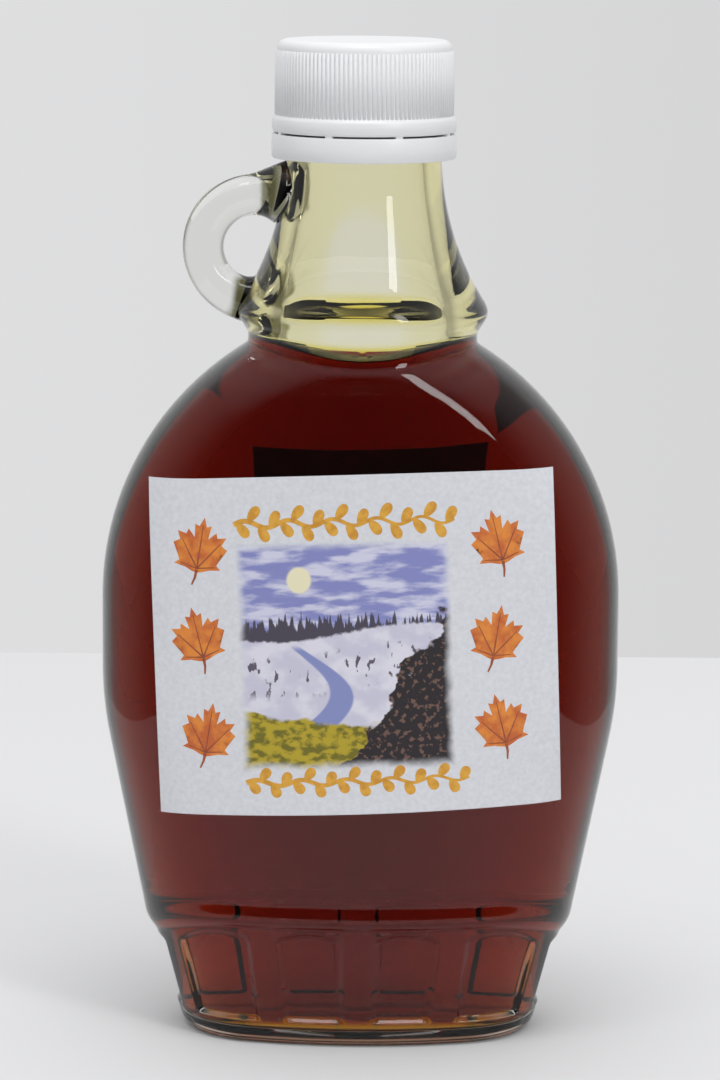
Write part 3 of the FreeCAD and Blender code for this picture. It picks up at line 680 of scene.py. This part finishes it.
def grow(name, tree, values):
    """A plain mesh of what a geometry tree makes with these inputs."""
    seed = bpy.data.objects.new(name, bpy.data.meshes.new(name))
    bpy.context.scene.collection.objects.link(seed)
    modifier = seed.modifiers.new(tree.name, "NODES")
    modifier.node_group = tree
    for item in tree.interface.items_tree:
        if item.item_type == "SOCKET" and item.in_out == "INPUT" and item.name in values:
            modifier[item.identifier] = values[item.name]
    seed.update_tag()
    graph = bpy.context.evaluated_depsgraph_get()
    mesh = bpy.data.meshes.new_from_object(seed.evaluated_get(graph))
    seed.modifiers.clear()
    seed.data = mesh
    return seed


ribs = grow("cap_ribs", rib_tree(), {
    "Count": RIB_COUNT, "Radius": CAP_RADIUS * MM, "Middle": RIB_MIDDLE * MM, "Length": RIB_LENGTH * MM,
    "Width": RIB_RADIUS * MM, "Finish": plastic})
for piece in (cap, ribs):
    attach(piece, "root")
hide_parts("screw_cap")

# -------------------------------------------------------------------------------- tamper band
# The ring under the cap that breaks off when it is first opened. It is the same plastic, joined
# to the cap's bead by eight thin bridges.
BRIDGES, BRIDGE_RADIUS, BRIDGE_HEIGHT, BRIDGE_SIZE = 8, 14.6, 151.75, (0.9, 1.2, 0.5)
band_line = [(13.4, 147.6), (15.1, 147.6), (15.3, 147.85), (15.32, 149.5), (15.28, 151.3),
             (15.15, 151.6), (13.45, 151.6), (13.35, 151.3), (13.35, 147.8)]


def hoop(name, line, columns):
    """A ring turned about the axis from a closed section of points (radius, height)."""
    points, faces = [], []
    for radius, height in line:
        points.extend(circle_at(radius, height, columns))
    for row in range(len(line)):
        for j in range(columns):
            k = (j + 1) % columns
            a, b = row * columns, ((row + 1) % len(line)) * columns
            faces.append((a + j, a + k, b + k, b + j))
    return new_piece(name, points, faces)


band = hoop("seal_band", band_line, 160)
work = bmesh.new()
work.from_mesh(band.data)
for step in range(BRIDGES):
    made = bmesh.ops.create_cube(work, size=1.0)
    spin = Matrix.Rotation(2 * math.pi * (step + 0.5) / BRIDGES, 4, "Z")
    move = Matrix.Translation(Vector((BRIDGE_RADIUS, 0, BRIDGE_HEIGHT)) * MM)
    stretch = Matrix.Diagonal((*(size * MM for size in BRIDGE_SIZE), 1))
    bmesh.ops.transform(work, matrix=spin @ move @ stretch, verts=made["verts"])
work.to_mesh(band.data)
work.free()
face_outwards(band)
band.data.set_sharp_from_angle(angle=SHARP)
band.data.materials.append(plastic)
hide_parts("tamper_band")
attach(band, "root")

# -------------------------------------------------------------------------------- front label
# A plain printed paper label, glued by hand a little askew, with six maple leaves, a gold vine
# along its top and its foot, and a soft-edged snow scene between them.
FRONT = {"wide": 66.4, "tall": 55.8, "middle": 68.9, "aside": -0.75, "tilt": 2.2, "side": -1, "bow": 0.8}
PAPER_LIFTS, LEAF_LIFT, VEIN_LIFT = (0.12, 0.02), 0.13, 0.145


def glass_depth(x, z):
    """How far the front of the flask stands from the middle plane at a place."""
    half_width, half_depth = flask_section(z)
    gap = (half_width - half_depth) / (math.sin(END_ARC) + math.cos(END_ARC) - 1)
    end_x = gap * math.cos(END_ARC)
    end = half_width - end_x
    if abs(x) > end_x + end * math.cos(END_ARC):
        return math.sqrt(max(0.0, end ** 2 - (abs(x) - end_x) ** 2))
    return math.sqrt((end + gap) ** 2 - x * x) - gap * math.sin(END_ARC)


def on_label(label, across, up, lift):
    """The point of a label at millimetres across and up from its middle, lifted off the glass."""
    tilt = math.radians(label["tilt"])
    x = label["aside"] + across * math.cos(tilt) - up * math.sin(tilt)
    z = label["middle"] + across * math.sin(tilt) + up * math.cos(tilt)
    if label["side"] > 0:
        x = label["aside"] - across * math.cos(tilt) - up * math.sin(tilt)
    z += label["bow"] * (up / label["tall"] + 0.5) * (1 - (2 * across / label["wide"]) ** 2)
    step = 0.5
    slope = (glass_depth(x + step, z) - glass_depth(x - step, z)) / (2 * step)
    lean = (glass_depth(x, z + step) - glass_depth(x, z - step)) / (2 * step)
    normal = Vector((-slope, 1.0, -lean)).normalized() * lift
    spot = Vector((x, glass_depth(x, z), z)) + normal
    return Vector((spot.x, spot.y * label["side"], spot.z))


def label_sheet(name, label):
    """A sheet of paper on the flask, 0.1 mm thick, with its own UV from edge to edge."""
    columns, rows = 88, 76
    points, faces, marks = [], [], []
    for lift in PAPER_LIFTS:
        for row in range(rows + 1):
            for column in range(columns + 1):
                u, v = column / columns, row / rows
                points.append(on_label(label, (u - 0.5) * label["wide"], (v - 0.5) * label["tall"], lift))
                marks.append((u, v))
    count = (rows + 1) * (columns + 1)
    for row in range(rows):
        for column in range(columns):
            a = row * (columns + 1) + column
            quad = (a, a + 1, a + columns + 2, a + columns + 1)
            faces.append(quad)
            faces.append(tuple(count + index for index in reversed(quad)))
    rim = list(range(columns + 1))
    rim += [row * (columns + 1) + columns for row in range(1, rows + 1)]
    rim += [rows * (columns + 1) + column for column in range(columns - 1, -1, -1)]
    rim += [row * (columns + 1) for row in range(rows - 1, 0, -1)]
    for a, b in zip(rim, rim[1:] + rim[:1]):
        faces.append((b, a, count + a, count + b))
    piece = new_piece(name, points, faces)
    sheet_uv = piece.data.uv_layers.new(name="sheet")
    for loop in piece.data.loops:
        sheet_uv.data[loop.index].uv = marks[loop.vertex_index]
    face_outwards(piece)
    piece.data.set_sharp_from_angle(angle=SHARP)
    return piece


front = label_sheet("front_paper", FRONT)
paper, shader = new_material("label_paper", Roughness=0.62)
white = toned(paper, 1300.0, (0.67, 0.68, 0.72), (0.74, 0.76, 0.80), 0.3, 0.7)
grained(paper, shader, Scale=1300.0, Detail=3.0, Strength=0.2, Distance=0.00003)


def sums(operation, *values):
    """A value worked out in the paper's shader."""
    return maths(paper, operation, *values)


def plus(value, other, share):
    """A value with a share of another added."""
    return sums("MULTIPLY_ADD", other, share, value)


def above(value, low, high):
    """A soft edge on the paper: 0 below low, 1 above high."""
    return soft_step(paper, value, low, high)


def below(value, low, high):
    """A soft edge on the paper: 1 below low, 0 above high."""
    return soft_step(paper, value, low, high, 1.0, 0.0)


def paint(under, mask, colour):
    """One colour of the print laid over another."""
    return laid_over(paper, under, mask, colour)


# the scene has a frame, given by its middle and its half width and height in shares of the sheet;
# p and q run from -1 to 1 across and up that frame
MIDDLE_ACROSS, MIDDLE_UP, HALF_ACROSS, HALF_UP = 0.475, 0.472, 0.261, 0.332
sheet_place = node(paper, "ShaderNodeUVMap", uv_map="sheet")
sheet_uv = node(paper, "ShaderNodeSeparateXYZ", Vector=sheet_place.outputs["UV"])
p = sums("DIVIDE", sums("SUBTRACT", sheet_uv.outputs["X"], MIDDLE_ACROSS), HALF_ACROSS)
q = sums("DIVIDE", sums("SUBTRACT", sheet_uv.outputs["Y"], MIDDLE_UP), HALF_UP)
in_frame = node(paper, "ShaderNodeCombineXYZ", X=p, Y=q).outputs["Vector"]


def streaks(wide, tall, detail):
    """Noise stretched across or up the scene."""
    made = node(paper, "ShaderNodeVectorMath", operation="MULTIPLY", i0=in_frame, i1=(wide, tall, 1))
    made = node(paper, "ShaderNodeTexNoise", Vector=made.outputs["Vector"], Scale=1.0, Detail=detail)
    return made.outputs["Fac"]


# an evening sky with streaks of cloud and a low sun
clouds, ground = streaks(2.2, 9.0, 4.0), streaks(3.0, 4.5, 3.0)
twigs, speck = streaks(26.0, 2.0, 3.0), streaks(18, 18, 4)
picture = paint((0.24, 0.26, 0.56), above(clouds, 0.42, 0.62), (0.66, 0.66, 0.82))
from_sun = node(paper, "ShaderNodeVectorMath", operation="DISTANCE", i0=in_frame, i1=(-0.42, 0.68, 0))
picture = paint(picture, below(from_sun.outputs["Value"], 0.10, 0.13), (0.85, 0.80, 0.55))
# a dark wood on the skyline, and a snowy hill in front of it with bushes along its crest
picture = paint(picture, below(plus(q, twigs, -0.55), 0.02, 0.05), (0.07, 0.06, 0.09))
hill = plus(q, sums("SINE", sums("MULTIPLY", p, 2.4)), -0.07)
snow = paint((0.60, 0.59, 0.72), above(ground, 0.40, 0.62), (0.74, 0.73, 0.82))
picture = paint(picture, below(plus(hill, speck, -0.06), 0.16, 0.19), snow)
bush = sums("MULTIPLY", above(streaks(13.0, 7.0, 5.0), 0.60, 0.63), above(hill, -0.34, -0.22))
picture = paint(picture, sums("MULTIPLY", bush, below(hill, 0.02, 0.10)), (0.12, 0.10, 0.14))
# a blue path that winds up the hill and narrows with distance
bend = sums("SINE", sums("MULTIPLY", q, 4.6))
off_path = sums("ABSOLUTE", plus(sums("ADD", p, 0.35), bend, 0.30))
path_mask = below(plus(off_path, sums("SUBTRACT", 0.25, q), -0.16), 0.0, 0.03)
path_mask = sums("MULTIPLY", path_mask, below(q, 0.05, 0.12))
picture = paint(picture, path_mask, (0.24, 0.28, 0.55))
# dry grass at the foot, and rocks at the lower right
meadow = paint((0.17, 0.15, 0.01), above(streaks(9.0, 14.0, 4.0), 0.40, 0.56), (0.47, 0.36, 0.02))
field = plus(plus(q, ground, -0.28), p, 0.10)
picture = paint(picture, below(field, -0.76, -0.72), meadow)
rock = plus(plus(sums("MULTIPLY", p, -1.0), streaks(2.6, 3.4, 4.0), -0.7), q, 0.75)
stone = paint((0.022, 0.016, 0.02), above(speck, 0.55, 0.6), (0.16, 0.09, 0.07))
picture = paint(picture, below(rock, -1.08, -1.05), stone)
# the scene fades into the paper at its rim
rim = plus(sums("MAXIMUM", sums("ABSOLUTE", p), sums("ABSOLUTE", q)), ground, 0.10)
feed(paper, shader.inputs["Base Color"], paint(white, below(rim, 0.97, 1.07), picture))
front.data.materials.append(paper)


def decal(name, shapes, ink, lift):
    """Ink on the front label: flat outlines (millimetres across and up, anticlockwise) laid on the paper."""
    work = bmesh.new()
    for shape in shapes:
        work.faces.new([work.verts.new((x, y, 0)) for x, y in shape])
    bmesh.ops.triangulate(work, faces=work.faces)
    for _ in range(3):
        stretched = [edge for edge in work.edges if edge.calc_length() > 1.4]
        if stretched:
            bmesh.ops.subdivide_edges(work, edges=stretched, cuts=1)
            bmesh.ops.triangulate(work, faces=work.faces)
    for vertex in work.verts:
        vertex.co = on_label(FRONT, vertex.co.x, vertex.co.y, lift) * MM
    piece = new_piece(name, [], [])
    work.to_mesh(piece.data)
    work.free()
    piece.data.materials.append(ink)
    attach(piece, "root")


def ink(name, light, dark, scale):
    """Printing ink, a little uneven."""
    material, shader = new_material(name, Roughness=0.6)
    feed(material, shader.inputs["Base Color"], toned(material, scale, dark, light, 0.38, 0.60))
    return material


def ribbon(points, wide):
    """The outline of a stroke along points, narrowing a little to its end."""
    left, right = [], []
    for index, (x, y) in enumerate(points):
        before, after = points[max(0, index - 1)], points[min(len(points) - 1, index + 1)]
        way = Vector((after[0] - before[0], after[1] - before[1])).normalized()
        half = wide / 2 * (1 - 0.5 * index / (len(points) - 1))
        left.append((x - way.y * half, y + way.x * half))
        right.append((x + way.y * half, y - way.x * half))
    return right + left[::-1]


HALF_LEAF = [(0.0, 1.0), (0.07, 0.84), (0.16, 0.87), (0.13, 0.64), (0.27, 0.77), (0.30, 0.68), (0.47, 0.71),
             (0.40, 0.57), (0.52, 0.50), (0.38, 0.41), (0.27, 0.30), (0.40, 0.30), (0.36, 0.22), (0.45, 0.15),
             (0.24, 0.12), (0.10, 0.07), (0.02, 0.05)]
STALK, VEIN_ROOT = ((0.0, 0.1), (-0.01, -0.04), (-0.05, -0.17)), 0.12
LOBES = [(0.0, 0.92), (0.40, 0.63), (-0.40, 0.63), (0.36, 0.19), (-0.36, 0.19)]
LEAF_PLACES = ((-24.9, 16.9), (-25.8, 2.2), (-24.6, -13.7), (23.7, 16.9), (23.2, 1.15), (23.5, -13.5))
LEAF_WIDTH, LEAF_HEIGHT, VEIN_WIDTH, STALK_WIDTH = 8.6, 9.6, 0.26, 0.5
outline = [(-x, y) for x, y in HALF_LEAF] + HALF_LEAF[:0:-1]
leaf_shapes, vein_shapes = [], []
for index, (across, up) in enumerate(LEAF_PLACES):
    lean = math.radians(-11.0 if index % 2 == 0 else 12.0)

    def on_sheet(x, y):
        """A point of the unit leaf in its place on the sheet."""
        x, y = x * LEAF_WIDTH, (y - 0.5) * LEAF_HEIGHT
        return across + x * math.cos(lean) - y * math.sin(lean), up + x * math.sin(lean) + y * math.cos(lean)

    leaf_shapes.append([on_sheet(x, y) for x, y in outline])
    vein_shapes.append(ribbon([on_sheet(x, y) for x, y in STALK], STALK_WIDTH))
    for x, y in LOBES:
        vein = [on_sheet(x * share, between(VEIN_ROOT, y, share)) for share in (0.0, 0.5, 0.93)]
        vein_shapes.append(ribbon(vein, VEIN_WIDTH))

# two rows of vine: (start, end, height on the sheet, height of the row), each with twenty leaves
VINES = ((-19.3, 16.7, 20.3, 6.4), (-18.7, 18.0, -22.4, 5.4))
STEM_WIDTH, BLADE_LONG, BLADE_WIDE = 0.85, 0.46, 0.72
vine_shapes = []
for start, stop, up, tall in VINES:
    wave = (stop - start) / 5

    def on_stem(x):
        """A point of the stem, which waves gently."""
        return x, up + 0.09 * tall * math.sin(2 * math.pi * (x - start) / wave)

    vine_shapes.append(ribbon([on_stem(x) for x in np.linspace(start, stop, 81)], STEM_WIDTH))
    for step in range(20):
        root = on_stem(start + wave * (step + 0.3) / 4)
        side = 1 if step % 2 else -1
        lean = math.radians((52 if step % 4 < 2 else 62) * side)
        blade = []
        for t in np.linspace(0, 2 * math.pi, 15)[:-1]:
            along = BLADE_LONG * tall * (0.5 - 0.5 * math.cos(t))
            out = BLADE_WIDE * math.sin(t) * (1.15 - 0.3 * math.cos(t))
            blade.append((root[0] + along * math.cos(lean) + out * math.sin(lean),
                          root[1] + along * math.sin(lean) - out * math.cos(lean)))
        vine_shapes.append(blade[::-1])
leaf_ink = ink("maple_orange", (0.78, 0.26, 0.04), (0.58, 0.13, 0.03), 420.0)
gold_ink = ink("gold_ink", (0.76, 0.40, 0.05), (0.62, 0.29, 0.03), 700.0)
vein_ink = ink("maple_vein", (0.40, 0.10, 0.03), (0.30, 0.07, 0.03), 600.0)
decal("leaf_prints", leaf_shapes, leaf_ink, LEAF_LIFT)
decal("vine_prints", vine_shapes, gold_ink, LEAF_LIFT)
decal("vein_prints", vein_shapes, vein_ink, VEIN_LIFT)
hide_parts("front_label")
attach(front, "root")

# --------------------------------------------------------------------------------- back label
# A narrower sheet of plain white paper on the back of the flask, glued on by hand and a little
# askew. It is thin enough to let some of the light behind it through.
BACK = {"wide": 33.4, "tall": 56.0, "middle": 69.0, "aside": 0.7, "tilt": -1.0, "side": 1, "bow": 0.0}
LET_THROUGH = 0.3
back = label_sheet("back_paper", BACK)
backlit, shader = new_material("back_paper", Base_Color=(0.72, 0.73, 0.76), Roughness=0.62)
glow = node(backlit, "ShaderNodeBsdfTranslucent", Color=(0.92, 0.92, 0.92))
thin = node(backlit, "ShaderNodeMixShader", i0=LET_THROUGH, i1=shader.outputs["BSDF"],
            i2=glow.outputs["BSDF"])
feed(backlit, backlit.node_tree.nodes["Material Output"].inputs["Surface"], thin.outputs["Shader"])
back.data.materials.append(backlit)
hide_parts("back_label")
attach(back, "root")

# ---------------------------------------------------------------------- table, light and view
# A pale, narrow table a hair's breadth under the foot, with soft light from above, a tall soft box
# at the right of the view and a plain studio all round.
TABLE_FRONT, TABLE_BACK, TABLE_SIDE, TABLE_GAP = -420.0, 327.0, 200.0, 0.04
table = new_piece("table", [(-TABLE_SIDE, TABLE_FRONT, -TABLE_GAP), (TABLE_SIDE, TABLE_FRONT, -TABLE_GAP),
                            (TABLE_SIDE, TABLE_BACK, -TABLE_GAP), (-TABLE_SIDE, TABLE_BACK, -TABLE_GAP)],
                  [(0, 1, 2, 3)])
pale, shader = new_material("pale_table", Base_Color=(0.78, 0.78, 0.785), Roughness=0.7)
table.data.materials.append(pale)

world = bpy.data.worlds.new("studio")
bpy.context.scene.world = world
world.use_nodes = True
sky = world.node_tree.nodes["Background"]
heading = node(world, "ShaderNodeTexCoord")
way = node(world, "ShaderNodeSeparateXYZ", Vector=heading.outputs["Generated"]).outputs


def choose(test, otherwise, value):
    """One of two strengths: value where the test is 1."""
    return node(world, "ShaderNodeMix", data_type="FLOAT", i0=test, i2=otherwise, i3=value).outputs[0]


# what the glass mirrors and bends: a pale backdrop behind, dimmer sides, a dark front and a pale
# ceiling
sides = soft_step(world, way["Y"], -0.85, 0.10, 0.06, 0.42)
backdrop = soft_step(world, way["Y"], 0.25, 0.80, 0.0, 0.74)
ceiling = soft_step(world, way["Z"], 0.35, 0.85, 0.0, 0.74)
mirrored = maths(world, "MAXIMUM", maths(world, "MAXIMUM", sides, backdrop), ceiling)
# what lights the pieces: brighter from above and a little brighter from the left
soft = maths(world, "MULTIPLY", soft_step(world, way["Z"], 0.1, 0.9, 0.37, 1.0),
             soft_step(world, way["X"], -0.8, 0.8, 1.12, 0.90))
# what the camera sees beside the table: a backdrop that darkens a little to the right
seen = soft_step(world, way["X"], -0.10, 0.10, 0.735, 0.672)
path = node(world, "ShaderNodeLightPath")
bent = maths(world, "MAXIMUM", path.outputs["Is Glossy Ray"], path.outputs["Is Transmission Ray"])
strength = choose(path.outputs["Is Camera Ray"], choose(bent, soft, mirrored), seen)
feed(world, sky.inputs["Strength"], strength)
feed(world, sky.inputs["Color"], (1, 1, 1.012))


def soft_box(name, place, aim, wide, tall, power):
    """A soft rectangular lamp at a place, turned to a point, in metres and watts."""
    lamp = bpy.data.lights.new(name, "AREA")
    lamp.shape = "RECTANGLE"
    lamp.size, lamp.size_y, lamp.energy = wide, tall, power
    holder = bpy.data.objects.new(name, lamp)
    holder.location = place
    holder.rotation_euler = (Vector(aim) - Vector(place)).to_track_quat("-Z", "Y").to_euler()
    bpy.context.scene.collection.objects.link(holder)


soft_box("soft_box_right", (0.75, -0.95, 0.78), (0, 0, 0.10), 0.2, 0.86, 4.0)
soft_box("soft_box_over", (-0.02, -0.35, 1.25), (0, 0, 0.05), 0.7, 0.25, 3.1)

# the camera stands 0.7 m in front, looks down a little and is held a touch askew
CAMERA_PLACE, FOCAL_LENGTH = (-0.00017, -0.700, 0.200), 140.8
PITCH, ROLL = math.radians(9.46), math.radians(0.44)
lens = bpy.data.cameras.new("camera")
lens.sensor_width = 36.0
lens.lens = FOCAL_LENGTH
lens.clip_start, lens.clip_end = 0.01, 50.0
camera = bpy.data.objects.new("camera", lens)
camera.matrix_world = (Matrix.Translation(CAMERA_PLACE)
                       @ Matrix.Rotation(math.pi / 2 - PITCH, 4, "X") @ Matrix.Rotation(ROLL, 4, "Z"))
bpy.context.scene.collection.objects.link(camera)
bpy.context.scene.camera = camera
bpy.context.scene.view_settings.view_transform = "Standard"

bpy.context.view_layer.update()
